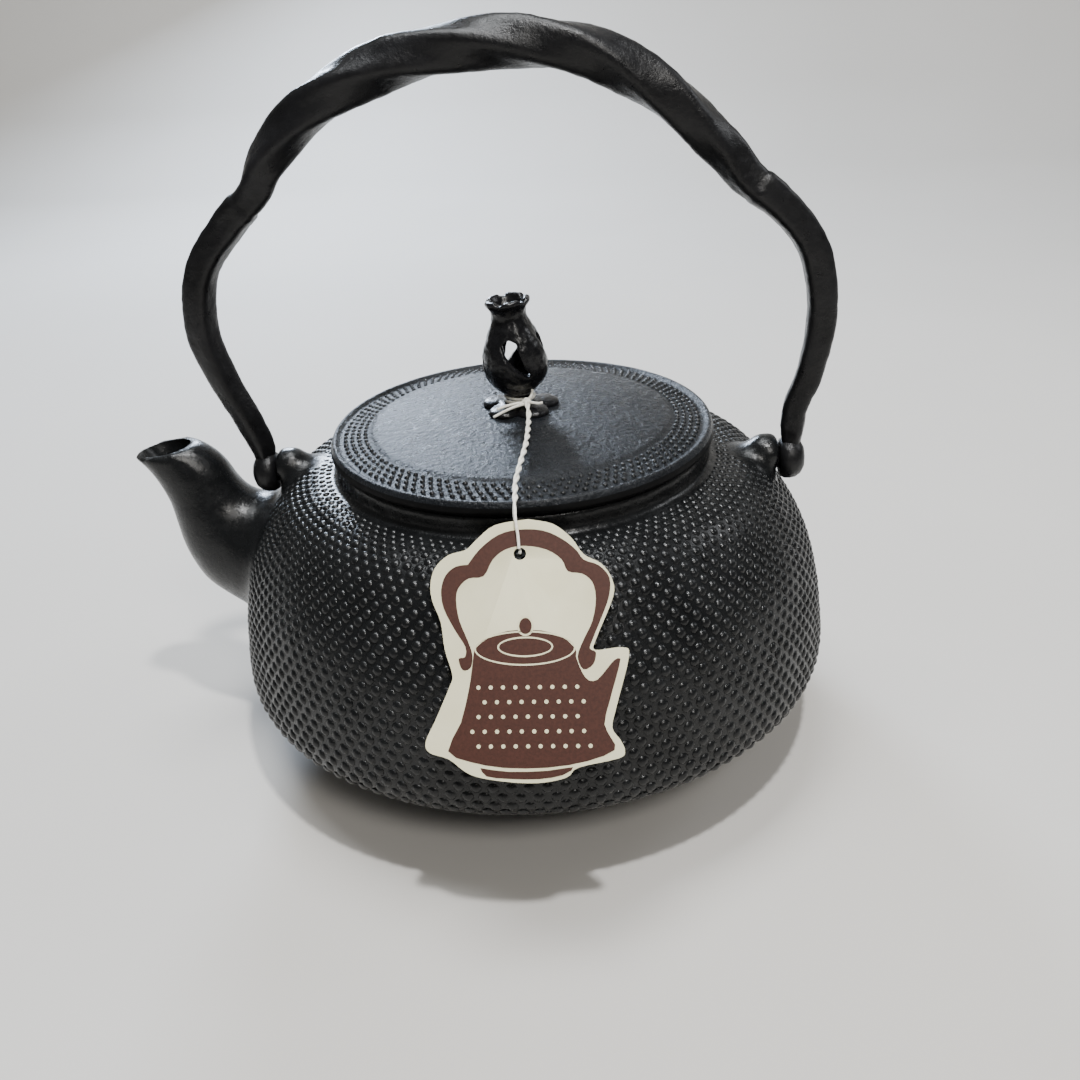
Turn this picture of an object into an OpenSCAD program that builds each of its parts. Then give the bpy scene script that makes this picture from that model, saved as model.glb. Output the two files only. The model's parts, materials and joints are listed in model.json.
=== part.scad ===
// Hobnail iron kettle with a bail handle, a lift-off lid, an openwork knob and a hang tag.
// Millimetres. Origin: centre of the flat base, +Z up. The spout points along -X, the handle plane is XZ.

/* [Body] */
// Largest outside diameter of the body
body_d = 175; // [165:0.5:185]
// Height of the widest ring above the table
belly_z = 30; // [24:0.5:36]
// Radius of the sharp ring where the hobnailed wall ends
seam_r = 82; // [78:0.5:86]
// Height of that ring
seam_z = 22.7; // [18:0.1:26]
// Height of the collar's top, where the lid sits
collar_z = 92.3; // [88:0.1:96]
// Outside radius of the collar, which stands upright under the lid's edge
collar_r = 53.6; // [52:0.1:55]
// Height of the collar's foot, where the hobnails begin
neck_z = 86.2; // [84:0.1:88]
// Radius of the mouth
mouth_r = 48; // [44:0.5:50]
// Wall thickness of the casting
wall = 3.6; // [2.5:0.1:5]
// Radius of the flat base
base_r = 48.5; // [42:0.5:54]

/* [Lugs and handle] */
// Height of the handle's pivot line
pivot_z = 82.5; // [78:0.1:86]
// Radius of the two lug bosses
boss_r = 7.2; // [5:0.1:9]
// Distance of a boss's end face from the middle
boss_x = 73.5; // [70:0.1:76]
// Radius of the pins on the handle's feet
pin_r = 3.0; // [2:0.1:4]
// Radial clearance of a pin in its bore
pin_gap = 0.06; // [0.02:0.01:0.1]
// Radius of the round foot at each end of the handle
foot_r = 6.6; // [5:0.1:8]
// Thickness of the handle's feet
foot_t = 5.8; // [4:0.1:7]
// Thickness of the bar just above the feet
bar_low = 6.4; // [5:0.1:8]
// Thickness of the bar at the top of the arch
bar_top = 11.4; // [9:0.1:13]
// Twist of the square bar from one foot to the other, in degrees
bar_twist = 540; // [0:30:900]

/* [Lid and knob] */
// Radius of the lid's top edge
lid_r = 53.9; // [51:0.1:56]
// Height of the lid's top edge
lid_z = 95.8; // [94:0.1:98]
// Rise of the lid's middle above its edge
lid_rise = 4.8; // [2:0.1:8]
// Radius of the flange inside the mouth
flange_r = 47.2; // [43:0.1:49]
// Depth of the flange
flange_h = 6; // [3:0.5:10]
// Radius of the petals of the knob's seat, from the middle
seat_r = 11.4; // [8:0.1:14]
// Thickness of the seat
seat_t = 2; // [1:0.1:3]
// Lean of the hand-fitted knob, in degrees
knob_lean = 3.5; // [0:0.5:6]
// Radius of the rivet that holds the knob
rivet_r = 2.3; // [1.5:0.1:3]

/* [Tag] */
// Thickness of the card
tag_t = 0.8; // [0.3:0.1:1.5]
// Lean of the card against the shoulder, in degrees from upright
tag_lean = 36; // [20:1:60]
// Radius of the card's hole
tag_hole_r = 1.5; // [1:0.1:3]
// Radius of the twisted string
string_r = 0.75; // [0.4:0.05:1.5]

/* [Hidden] */
body_r = body_d / 2;
iron = [0.09, 0.09, 0.10];
iron_handle = [0.07, 0.07, 0.075];
white = [0.93, 0.92, 0.88];
cream = [0.87, 0.84, 0.72];
// curve through hand-set points
function cr(a, b, c, d, t) = 0.5 * (2 * b + (c - a) * t + (2 * a - 5 * b + 4 * c - d) * t * t
    + (3 * b - a - 3 * c + d) * t * t * t);
function curve(P, n) = [for (i = [0 : len(P) - 2]) for (k = [0 : n - 1])
    cr(P[max(i - 1, 0)], P[i], P[i + 1], P[min(i + 2, len(P) - 1)], k / n), P[len(P) - 1]];
function unit(v) = v / norm(v);
function tangent(C, i) = unit(C[min(i + 1, len(C) - 1)] - C[max(i - 1, 0)]);
function rev(L) = [for (i = [len(L) - 1 : -1 : 0]) L[i]];
// skin over rings of equal length, each anticlockwise about the way they advance, closed at both ends
module skin(rings) {
    n = len(rings[0]);
    m = len(rings);
    pts = [for (r = rings) for (p = r) p];
    sides = [for (i = [0 : m - 2]) for (j = [0 : n - 1])
        [i * n + j, (i + 1) * n + j, (i + 1) * n + (j + 1) % n, i * n + (j + 1) % n]];
    tris = [for (q = sides) for (t = [[q[0], q[1], q[2]], [q[0], q[2], q[3]]]) t];
    caps = [[for (j = [0 : n - 1]) j], [for (j = [n - 1 : -1 : 0]) (m - 1) * n + j]];
    polyhedron(points = pts, faces = concat(tris, caps), convexity = 6);
}

// body: outside profile from the seam up to the collar, radius and height
shoulder = curve([[seam_r, seam_z], [body_r - 1.2, belly_z - 4], [body_r, belly_z + 1], [body_r - 0.8, belly_z + 10],
    [body_r - 2.3, belly_z + 20], [body_r - 5.4, belly_z + 31], [body_r - 10.5, belly_z + 41],
    [body_r - 17.8, belly_z + 50.8], [body_r - 24.8, belly_z + 55], [collar_r + 0.6, neck_z]], 4);
inner = [for (i = [1 : len(shoulder) - 4]) let (t = tangent(shoulder, i), p = shoulder[i])
    [p[0] - wall * t[1], p[1] + wall * t[0]]];

// spout: [inner edge x, z, outer edge x, z, half width across] of each oval section
spout_in = [[-62, 78, -74, 34, 20], [-74, 75.2, -86, 37, 17.5], [-81, 74.8, -94.5, 42, 15],
    [-85.5, 77.5, -102, 48.5, 13], [-88, 81.5, -106.3, 58, 11.4], [-89.5, 85, -107.6, 66, 10.2],
    [-91.6, 88, -108.8, 75.5, 9.2],
    [-94.5, 90.6, -112.2, 83.6, 8.4], [-97.6, 92.2, -116.6, 89.6, 8.2]];
spout_c = curve(spout_in, 3);
// the same tube with its wall taken off
function sect(s, w, n) = let (a = [s[0], 0, s[1]], b = [s[2], 0, s[3]], u = unit(b - a), h = norm(b - a) / 2 - w,
    c = (a + b) / 2) [for (j = [0 : n - 1]) c + u * h * cos(360 * j / n) - [0, 1, 0] * (s[4] - w) * sin(360 * j / n)];
spout_n = 28;

// handle: [x, z] of the bar's middle line from the left foot over the top to the right foot
bar_pts = [[-77.6, pivot_z], [-77.5, 90], [-80.3, 99], [-85.6, 113], [-88.6, 127], [-85.2, 143], [-75, 155.5],
    [-67, 163], [-62, 171], [-49, 183], [-27, 192.5], [0, 196], [23, 192.5], [41, 182.5], [55.5, 169],
    [63, 160.5], [72, 153.5], [80.5, 142], [83.6, 126], [81.6, 109], [78, 98], [77.4, 90], [77.6, pivot_z]];
bar = curve(bar_pts, 5);
bar_n = len(bar) - 1;
function bar_size(i) = let (z = bar[i][1], k = max(0, min(1, (z - 88) / 40)), m = max(0, min(1, (z - 150) / 46)))
    bar_low + (8.2 - bar_low) * k + (bar_top - 8.2) * m * m * (3 - 2 * m);
function bar_ring(i, n) = let (t = tangent(bar, i), s = bar_size(i) / 2, nx = [t[1], 0, -t[0]],
    w = 45 + bar_twist * (i / bar_n - 0.5))
    [for (j = [0 : n - 1]) let (a = 360 * j / n,
        q = pow(pow(abs(cos(a - w)), 3.4) + pow(abs(sin(a - w)), 3.4), -1 / 3.4))
        [bar[i][0], 0, bar[i][1]] + nx * s * q * cos(a) + [0, 1, 0] * s * q * sin(a)];

// string: middle line from the knot on the knob's stem, over the lid's edge and down the card's face to its hole
tag_at = [4, -66.1, 88.4];
string_pts = [[2.2, -6.2, 104.2], [3, -9.5, 103.9], [3.4, -13, 102.4], [3.6, -20, 101.6], [3.6, -28, 100.9],
    [2.6, -40, 99.4], [2.1, -47, 98.3], [2.3, -51, 97.6], [2.5, -54.5, 97.2], [2.7, -57.5, 97.1], [2.9, -60, 97],
    [3.1, -62.2, 96.3], [3.3, -63.5, 94.8], [3.6, -64.5, 93.3], [3.8, -65.6, 91.6], [3.9, -66.6, 90.1]];
string_c = curve(string_pts, 3);
function tube_ring(C, i, r, n) = let (t = tangent(C, i), u = unit(cross(t, [1, 0, 0.01])), v = cross(t, u))
    [for (j = [0 : n - 1]) C[i] + r * (u * cos(360 * j / n) + v * sin(360 * j / n))];

// card outline: a kettle with its handle, about the hole
tag_pts = [[2, 8.3], [-6, 7], [-10.5, 3.5], [-13, 1.2], [-17.2, 0], [-20.4, -3], [-21.5, -7], [-21, -11], [-19, -16],
    [-18, -22.5], [-16.2, -28.5], [-17, -31.5], [-20, -38.5], [-22.5, -44], [-21.5, -46.5], [-17, -48],
    [-12, -51.5], [-5, -53], [3.5, -53.5], [10.3, -52.3], [13.3, -50], [22.5, -48], [24, -46.3], [23, -43.8],
    [21.2, -41], [22.3, -36], [25.4, -24.5], [23.8, -22.5], [17.5, -23], [18, -20], [22, -10.5], [21.7, -6.2],
    [19.3, -2.7], [15.2, -0.4], [12.4, 3.5], [8, 7]];

module body() color(iron) difference() {
    union() {
        // the shell, open at the mouth
        rotate_extrude($fn = 96) polygon(concat(
            [[0, 0], [base_r, 0], [50, 0.6], [54, 2.3], [62, 6.9], [70, 12.5], [76, 17.6], [79.8, 21.8],
             [80, 22.5]], shoulder,
            [[collar_r, neck_z + 0.5], [collar_r, collar_z - 0.6], [collar_r - 0.6, collar_z],
             [mouth_r + 0.6, collar_z], [mouth_r, collar_z - 0.6], [mouth_r, collar_z - 8]], rev(inner),
            [[78, 24.5], [73, 20], [66, 14.6], [58, 9.4], [50, 5.6], [44, 4.6], [0, 4.6]]));
        // lug bosses, whose backs slope down into the shoulder
        for (s = [-1, 1]) difference() {
            hull() {
                translate([s * (boss_x - 4), 0, pivot_z]) rotate([0, s * 90, 0]) cylinder(r = boss_r, h = 4, $fn = 48);
                translate([s * 59.5, 0, pivot_z - 4.2]) rotate([0, s * 90, 0]) cylinder(r = 5.6, h = 2, $fn = 48);
            }
            rotate_extrude($fn = 96) polygon(concat([[0, 40]], [for (i = [8 : len(shoulder) - 4])
                let (t = tangent(shoulder, i), p = shoulder[i]) [p[0] - 1.4 * t[1], p[1] + 1.4 * t[0]]], [[0, 83.5]]));
        }
    }
    spout_channel();
    // blind bores for the handle's pins
    for (s = [-1, 1]) translate([s * 66, 0, pivot_z]) rotate([0, s * 90, 0])
        cylinder(r = pin_r + pin_gap, h = 12, $fn = 48);
}

// spout channel into the hollow
module spout_channel() skin([for (s = concat([[-52, 80, -62, 34, 19]], spout_c, [[-98.6, 96.2, -117.6, 93.6, 8.2]]))
    sect(s, 2.2, spout_n)]);

// the spout, cast on the body: it ends on the shell's outer face
module spout() color(iron) difference() {
    skin([for (s = spout_c) sect(s, 0, spout_n)]);
    rotate_extrude($fn = 96) polygon(concat([[0, seam_z]], shoulder, [[0, neck_z]]));
    spout_channel();
}

module lid() color(iron) difference() {
    rotate_extrude($fn = 96) polygon(concat(
        [[0, lid_z + lid_rise], [12.5, lid_z + lid_rise]],
        [for (r = [16 : 6 : 46]) [r, lid_z + lid_rise * (1 - pow(r / 52, 2))]],
        [[51.6, lid_z - 0.1], [52.4, lid_z], [lid_r, lid_z], [lid_r + 1.1, lid_z - 1.2], [lid_r + 1.1, collar_z + 0.7],
         [lid_r + 0.5, collar_z + 0.05], [flange_r, collar_z + 0.05], [flange_r, collar_z - flange_h],
         [flange_r - 2.8, collar_z - flange_h], [flange_r - 2.8, collar_z + 0.4]],
        [for (r = [40 : -6 : 16]) [r, lid_z - 3.2 + lid_rise * (1 - pow(r / 52, 2))]],
        [[12.5, lid_z + lid_rise - 3.2], [0, lid_z + lid_rise - 3.2]]));
    translate([0, 0, 90]) cylinder(r = rivet_r + 0.05, h = 20, $fn = 32);
}

seat_z = lid_z + lid_rise;
module knob_seat() color(iron) difference() {
    translate([0, 0, seat_z]) linear_extrude(seat_t) {
        circle(r = 6.4, $fn = 40);
        for (k = [0 : 4]) rotate(90 + 72 * k) translate([seat_r - 4.6, 0]) circle(r = 4.6, $fn = 32);
    }
    translate([0, 0, 90]) cylinder(r = rivet_r + 0.05, h = 20, $fn = 32);
}

// openwork bud: a hollow turned shell with tapering windows and a scalloped crown
bud = curve([[2.9, 0], [3.3, 1.6], [5.2, 3.4], [8.2, 7], [9.3, 11.5], [8.6, 16.5], [6.4, 21], [4.9, 24.5], [5.1, 26.6],
    [6.3, 28.6], [6.1, 29.6]], 4);
module knob() color(iron) difference() {
    translate([0, 0, seat_z + seat_t]) rotate([0, -knob_lean, 0]) difference() {
        rotate_extrude($fn = 64) polygon(concat([[0, -0.25], [2.9, -0.25]], bud, [[4.1, 29.8], [3.4, 27.4], [2.9, 24.6],
            [4.2, 21], [6.2, 16.6], [6.9, 11.5], [5.8, 7.6], [3.8, 5], [0, 4.4]]));
        // four windows between the petals, each slanting down to a point
        for (k = [0 : 3]) rotate(270 + 90 * k) rotate([90, 0, 90]) linear_extrude(12)
            polygon([[-2.3, 18.3], [-0.4, 19.6], [1.9, 18.6], [2.3, 15.8], [3.3, 12], [5, 8.8], [4.4, 8.6],
                [2.2, 10.4], [0.1, 12.6], [-1.6, 15.2]]);
        // scallops of the crown
        for (k = [0 : 4]) rotate(36 + 72 * k) translate([6.2, 0, 30.2]) rotate([0, 90, 0])
            cylinder(r = 1.7, h = 6, center = true, $fn = 24);
    }
    // the rivet's seat, and a foot cut flat on the washer
    translate([0, 0, 90]) cylinder(r = rivet_r + 0.05, h = seat_z + seat_t - 90 + 3.6, $fn = 32);
    translate([0, 0, seat_z + seat_t - 3]) cylinder(r = 9, h = 3, $fn = 32);
}

module knob_rivet() color(iron) {
    translate([0, 0, lid_z + lid_rise - 4.4]) cylinder(r = rivet_r, h = 3.2 + 1.2 + seat_t + 3.4, $fn = 32);
    translate([0, 0, lid_z + lid_rise - 6]) cylinder(r1 = 2.6, r2 = 3.6, h = 1.6, $fn = 32);
}

module rivet_washer() color(iron) translate([0, 0, lid_z + lid_rise - 4.4]) difference() {
    cylinder(r = 8.5, h = 1.2, $fn = 40);
    translate([0, 0, -1]) cylinder(r = rivet_r + 0.05, h = 4, $fn = 32);
}

module handle() color(iron_handle) {
    skin([for (i = [1 : bar_n - 1]) bar_ring(i, 20)]);
    for (s = [-1, 1]) translate([s * (boss_x + 0.3), 0, pivot_z]) rotate([0, s * 90, 0]) {
        // round foot with eased edges
        rotate_extrude($fn = 48) polygon([[0, 0], [foot_r - 1.8, 0], [foot_r - 0.6, 0.5], [foot_r, 1.8],
            [foot_r, foot_t - 1.6], [foot_r - 0.6, foot_t - 0.5], [foot_r - 2, foot_t], [0, foot_t]]);
        // pin in the blind bore
        translate([0, 0, -7]) cylinder(r = pin_r, h = 8, $fn = 48);
    }
}

module string() color(white) skin([for (i = [0 : len(string_c) - 1]) tube_ring(string_c, i, string_r, 8)]);

module string_tie() color(white) {
    // loop round the stem, the knot in front of it and two short tails
    translate([0, 0, seat_z + seat_t + 0.75]) rotate_extrude($fn = 40) translate([4.1, 0]) circle(r = 0.7, $fn = 16);
    translate([1.9, -5.4, seat_z + seat_t + 1.2]) sphere(r = 1.7, $fn = 20);
    skin([for (C = [curve([[1.6, -5.6, 103.9], [-1, -8.4, 103.8], [-3.6, -10.2, 103.5], [-6, -11.2, 103.4]], 3)])
        for (i = [0 : len(C) - 1]) tube_ring(C, i, 0.5, 8)]);
    skin([for (C = [curve([[2.2, -5.6, 103.9], [5, -7.6, 104], [7.4, -8, 104.2], [9.4, -7.4, 104.2]], 3)])
        for (i = [0 : len(C) - 1]) tube_ring(C, i, 0.5, 8)]);
}

module tag() color(cream) translate(tag_at) rotate([90 - tag_lean, 0, 0]) difference() {
    translate([0, 0, -tag_t / 2]) linear_extrude(tag_t) polygon(curve(concat(tag_pts, [tag_pts[0]]), 3));
    cylinder(r = tag_hole_r, h = 4, center = true, $fn = 32);
}

body();
spout();
lid();
knob_seat();
knob();
knob_rivet();
rivet_washer();
handle();
string();
string_tie();
tag();
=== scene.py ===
"""Hobnail iron kettle: the looks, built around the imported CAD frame. Lengths are in mm until mesh() scales them."""
import json
import math
import random

import bmesh
import bpy
import numpy as np
from mathutils import Matrix, Vector, noise
from mathutils.bvhtree import BVHTree


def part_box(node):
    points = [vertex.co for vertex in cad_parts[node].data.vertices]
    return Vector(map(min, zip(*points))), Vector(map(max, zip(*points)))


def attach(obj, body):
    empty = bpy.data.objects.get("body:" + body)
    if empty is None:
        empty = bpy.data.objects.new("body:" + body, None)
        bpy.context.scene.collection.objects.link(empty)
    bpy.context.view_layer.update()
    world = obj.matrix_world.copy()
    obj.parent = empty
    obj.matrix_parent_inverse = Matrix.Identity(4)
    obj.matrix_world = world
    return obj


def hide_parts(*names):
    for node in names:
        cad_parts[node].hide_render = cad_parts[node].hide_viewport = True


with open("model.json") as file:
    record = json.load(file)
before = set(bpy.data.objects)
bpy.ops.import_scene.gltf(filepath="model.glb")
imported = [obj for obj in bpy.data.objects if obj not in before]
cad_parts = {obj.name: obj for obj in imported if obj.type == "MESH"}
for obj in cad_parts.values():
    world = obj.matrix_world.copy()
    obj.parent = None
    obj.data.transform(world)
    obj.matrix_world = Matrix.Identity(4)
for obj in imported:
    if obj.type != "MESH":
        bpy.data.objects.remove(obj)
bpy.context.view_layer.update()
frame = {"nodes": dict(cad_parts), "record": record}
MM = 0.001
SEED = 7


# ---------------------------------------------------------------- places, from the frame

def node_box(name):
    """A CAD node's lowest and highest corner in millimetres."""
    low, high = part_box(name)
    return [c / MM for c in low], [c / MM for c in high]


def joint_place(name):
    """A joint's point in millimetres."""
    joint = next(j for j in frame["record"]["behaviour"]["joints"] if j["name"] == name)
    return [c / MM for c in joint["pos_m"]]


BODY_LOW, BODY_HIGH = node_box("body")
LID_LOW, LID_HIGH = node_box("lid")
KNOB_LOW, KNOB_HIGH = node_box("knob")
SEAT_LOW, SEAT_HIGH = node_box("knob_seat")
PIVOT_Z = joint_place("bail_swing")[2]
TAG_AT = joint_place("tag_swing")

BODY_R = BODY_HIGH[1]
BELLY_Z = 30.0
SEAM_R, SEAM_Z = BODY_R - 5.5, BELLY_Z - 7.3
COLLAR_Z = LID_LOW[2] + 6.0
COLLAR_R, MOUTH_R = 53.6, 48.0
NECK_Z = 86.2
WALL = 3.6
LID_OUT = LID_HIGH[0]
LID_TOP = LID_HIGH[2]
LID_EDGE_Z = LID_TOP - 4.8
SEAT_TOP = SEAT_HIGH[2]
BOSS_X, BOSS_R = 73.5, 7.2
FOOT_R, FOOT_T = 6.6, 5.8


# ---------------------------------------------------------------- camera

def set_camera():
    """A phone's wide lens close to the kettle, a little to its right and leaning a few degrees."""
    data = bpy.data.cameras.new("camera")
    data.sensor_width = 36.0
    data.lens = 36.1
    data.clip_start = 0.01
    camera = bpy.data.objects.new("camera", data)
    bpy.context.collection.objects.link(camera)
    place = Vector((28.7, -291.7, 211.8)) * MM
    aim = Vector((3.2, 0.3, 56.8)) * MM
    lean = math.radians(-3.58)
    ahead = (aim - place).normalized()
    right = ahead.cross(Vector((0, 0, 1))).normalized()
    up = right.cross(ahead)
    right, up = (right * math.cos(lean) + up * math.sin(lean), up * math.cos(lean) - right * math.sin(lean))
    turn = Matrix((right, up, -ahead)).transposed()
    camera.matrix_world = Matrix.Translation(place) @ turn.to_4x4()
    bpy.context.scene.camera = camera


set_camera()


# ---------------------------------------------------------------- mesh helpers

def curve(points, steps):
    """Catmull-Rom curve through points, as an array."""
    p = np.array(points, float)
    out = []
    for i in range(len(p) - 1):
        a, b, c, d = p[max(i - 1, 0)], p[i], p[i + 1], p[min(i + 2, len(p) - 1)]
        for t in np.arange(steps) / steps:
            out.append(0.5 * (2 * b + (c - a) * t + (2 * a - 5 * b + 4 * c - d) * t * t
                              + (3 * b - a - 3 * c + d) * t ** 3))
    out.append(p[-1])
    return np.array(out)


def smoothstep(low, high, value):
    t = np.clip((value - low) / (high - low), 0, 1)
    return t * t * (3 - 2 * t)


def mesh(name, verts, faces, smooth_angle=40):
    """A mesh object from points in millimetres, smooth apart from edges sharper than smooth_angle."""
    data = bpy.data.meshes.new(name)
    data.from_pydata((np.asarray(verts, float) * MM).tolist(), [], faces)
    return finish_mesh(name, data, smooth_angle)


def finish_mesh(name, data, smooth_angle=40):
    """Faces turned outwards and shaded smooth."""
    bm = bmesh.new()
    bm.from_mesh(data)
    bmesh.ops.recalc_face_normals(bm, faces=bm.faces)
    bm.to_mesh(data)
    bm.free()
    data.shade_smooth()
    if smooth_angle < 180:
        data.set_sharp_from_angle(angle=math.radians(smooth_angle))
    obj = bpy.data.objects.new(name, data)
    bpy.context.collection.objects.link(obj)
    return obj


def skin(rings, closed=False):
    """Points and faces over rings of equal length, capped at both ends unless closed into a loop."""
    rings = np.asarray(rings, float)
    m, n = rings.shape[:2]
    rows = m if closed else m - 1
    faces = [(i * n + j, i * n + (j + 1) % n, (i + 1) % m * n + (j + 1) % n, (i + 1) % m * n + j)
             for i in range(rows) for j in range(n)]
    if not closed:
        faces += [tuple(range(n)), tuple(range((m - 1) * n, m * n))]
    return rings.reshape(-1, 3), faces


def turned(profile, n):
    """Points and faces of a profile of [radius, height] turned about Z; a radius of 0 closes an end."""
    profile = [p for p in profile]
    verts, starts = [], []
    for r, z in profile:
        starts.append(len(verts))
        if r < 1e-6:
            verts.append((0, 0, z))
        else:
            verts += [(r * math.cos(2 * math.pi * j / n), r * math.sin(2 * math.pi * j / n), z) for j in range(n)]
    faces = []
    for i in range(len(profile) - 1):
        a, b = starts[i], starts[i + 1]
        a_point, b_point = profile[i][0] < 1e-6, profile[i + 1][0] < 1e-6
        for j in range(n):
            k = (j + 1) % n
            if a_point and not b_point:
                faces.append((a, b + k, b + j))
            elif b_point and not a_point:
                faces.append((a + j, a + k, b))
            elif not a_point:
                faces.append((a + j, a + k, b + k, b + j))
    return np.array(verts, float), faces


def joined(parts):
    """Several (points, faces) as one."""
    verts, faces, start = [], [], 0
    for v, f in parts:
        verts.append(np.asarray(v, float))
        faces += [tuple(i + start for i in face) for face in f]
        start += len(v)
    return np.concatenate(verts), faces


def baked(obj, *modifiers):
    """obj's mesh with the modifiers applied; each is (type, {setting: value})."""
    for kind, settings in modifiers:
        modifier = obj.modifiers.new(kind, kind)
        for key, value in settings.items():
            setattr(modifier, key, value)
    bpy.context.view_layer.update()
    graph = bpy.context.evaluated_depsgraph_get()
    data = bpy.data.meshes.new_from_object(obj.evaluated_get(graph))
    old = obj.data
    obj.modifiers.clear()
    obj.data = data
    bpy.data.meshes.remove(old)
    return obj


def remeshed(obj, voxel):
    """obj as one even skin of that voxel size in millimetres: crossing solids become one."""
    return baked(obj, ("REMESH", {"mode": "VOXEL", "voxel_size": voxel * MM, "use_smooth_shade": True}))


def cut(obj, *cutters):
    """obj with the cutters taken out of it; the cutters are used up."""
    for cutter in cutters:
        baked(obj, ("BOOLEAN", {"operation": "DIFFERENCE", "solver": "MANIFOLD", "object": cutter}))
        bpy.data.objects.remove(cutter)
    return obj


def points_of(obj):
    """obj's points in millimetres."""
    flat = np.empty(len(obj.data.vertices) * 3)
    obj.data.vertices.foreach_get("co", flat)
    return flat.reshape(-1, 3) / MM


def set_points(obj, points):
    obj.data.vertices.foreach_set("co", (points * MM).ravel())
    obj.data.update()


def relax(obj, weight, passes):
    """Evens obj out, each point moving towards its neighbours' middle by its weight."""
    edges = np.empty(len(obj.data.edges) * 2, int)
    obj.data.edges.foreach_get("vertices", edges)
    a, b = edges[::2], edges[1::2]
    p = points_of(obj)
    n = len(p)
    count = np.maximum(np.bincount(a, minlength=n) + np.bincount(b, minlength=n), 1)[:, None]
    for _ in range(passes):
        total = np.stack([np.bincount(a, p[b, k], n) + np.bincount(b, p[a, k], n) for k in range(3)], 1)
        p += weight[:, None] * (total / count - p)
    set_points(obj, p)


def normals_of(obj):
    flat = np.empty(len(obj.data.vertices) * 3)
    obj.data.vertices.foreach_get("normal", flat)
    return flat.reshape(-1, 3)


def roughen(obj, depth, size, octaves=3, weight=None):
    """Pushes obj's points in and out along their normals by soft noise, depth and size in millimetres."""
    p, n = points_of(obj), normals_of(obj)
    wave = np.array([noise.fractal(Vector(q) / size, 1.0, 2.0, octaves) for q in p])
    if weight is not None:
        wave = wave * weight
    set_points(obj, p + n * (wave * depth)[:, None])


# ---------------------------------------------------------------- materials

class Nodes:
    """Short hand for building a material's node tree."""

    def __init__(self, name):
        self.material = bpy.data.materials.new(name)
        self.material.use_nodes = True
        self.tree = self.material.node_tree
        self.shader = self.tree.nodes["Principled BSDF"]
        self.place = self.add("ShaderNodeTexCoord").outputs["Object"]

    def add(self, kind, **settings):
        node = self.tree.nodes.new(kind)
        for key, value in settings.items():
            setattr(node, key, value)
        return node

    def link(self, a, b):
        self.tree.links.new(a, b)

    def noise(self, scale, detail=4.0, roughness=0.55):
        """Noise by place, scale in features per metre."""
        node = self.add("ShaderNodeTexNoise")
        node.inputs["Scale"].default_value = scale
        node.inputs["Detail"].default_value = detail
        node.inputs["Roughness"].default_value = roughness
        self.link(self.place, node.inputs["Vector"])
        return node.outputs["Fac"]

    def ramp(self, value, stops):
        """value through a colour ramp of (position, colour)."""
        node = self.add("ShaderNodeValToRGB")
        ramp = node.color_ramp
        while len(ramp.elements) < len(stops):
            ramp.elements.new(0.5)
        for element, (position, colour) in zip(ramp.elements, stops):
            element.position = position
            element.color = (*colour, 1)
        self.link(value, node.inputs["Fac"])
        return node.outputs["Color"]

    def levels(self, value, low, high, to_low, to_high):
        node = self.add("ShaderNodeMapRange")
        for key, number in zip(("From Min", "From Max", "To Min", "To Max"), (low, high, to_low, to_high)):
            node.inputs[key].default_value = number
        self.link(value, node.inputs["Value"])
        return node.outputs["Result"]

    def bump(self, value, distance, strength=1.0, below=None):
        node = self.add("ShaderNodeBump")
        node.inputs["Distance"].default_value = distance
        node.inputs["Strength"].default_value = strength
        self.link(value, node.inputs["Height"])
        if below is not None:
            self.link(below, node.inputs["Normal"])
        return node.outputs["Normal"]

    def set(self, **values):
        for key, value in values.items():
            self.shader.inputs[key.replace("_", " ")].default_value = value


def iron(name, dark, pale, rough, grain=0.00012, shine=0.3):
    """Black lacquered cast iron: uneven tone, uneven gloss and fine casting grain."""
    m = Nodes(name)
    cloud = m.noise(60, 6)
    m.link(m.ramp(cloud, [(0.3, dark), (0.62, pale), (0.8, tuple(c * 1.5 for c in pale))]),
           m.shader.inputs["Base Color"])
    m.link(m.levels(m.noise(420, 5), 0.3, 0.7, rough - 0.07, rough + 0.1), m.shader.inputs["Roughness"])
    sand = m.bump(m.noise(2600, 3), grain * 0.5, 0.7)
    m.link(m.bump(m.noise(760, 4), grain, 0.8, sand), m.shader.inputs["Normal"])
    m.set(Specular_IOR_Level=shine)
    return m.material


def card_paper():
    m = Nodes("card")
    m.link(m.ramp(m.noise(90, 6), [(0.3, (0.70, 0.655, 0.43)), (0.7, (0.78, 0.735, 0.51))]),
           m.shader.inputs["Base Color"])
    m.link(m.bump(m.noise(2200, 3), 0.00003, 0.6), m.shader.inputs["Normal"])
    m.set(Roughness=0.5, Coat_Weight=0.25, Coat_Roughness=0.3)
    return m.material


def card_ink():
    m = Nodes("card_ink")
    m.link(m.ramp(m.noise(1400, 3), [(0.3, (0.040, 0.0125, 0.0075)), (0.75, (0.062, 0.020, 0.0125))]),
           m.shader.inputs["Base Color"])
    m.link(m.bump(m.noise(2200, 3), 0.00003, 0.6), m.shader.inputs["Normal"])
    m.set(Roughness=0.55, Specular_IOR_Level=0.3)
    return m.material


def thread():
    """White cotton: fine fibres and a soft sheen."""
    m = Nodes("cotton")
    m.link(m.ramp(m.noise(1500, 4), [(0.3, (0.7, 0.66, 0.55)), (0.6, (0.9, 0.88, 0.8))]),
           m.shader.inputs["Base Color"])
    m.link(m.bump(m.noise(6000, 3), 0.00008, 0.8), m.shader.inputs["Normal"])
    m.set(Roughness=0.8, Sheen_Weight=0.4, Sheen_Roughness=0.4)
    return m.material


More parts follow.
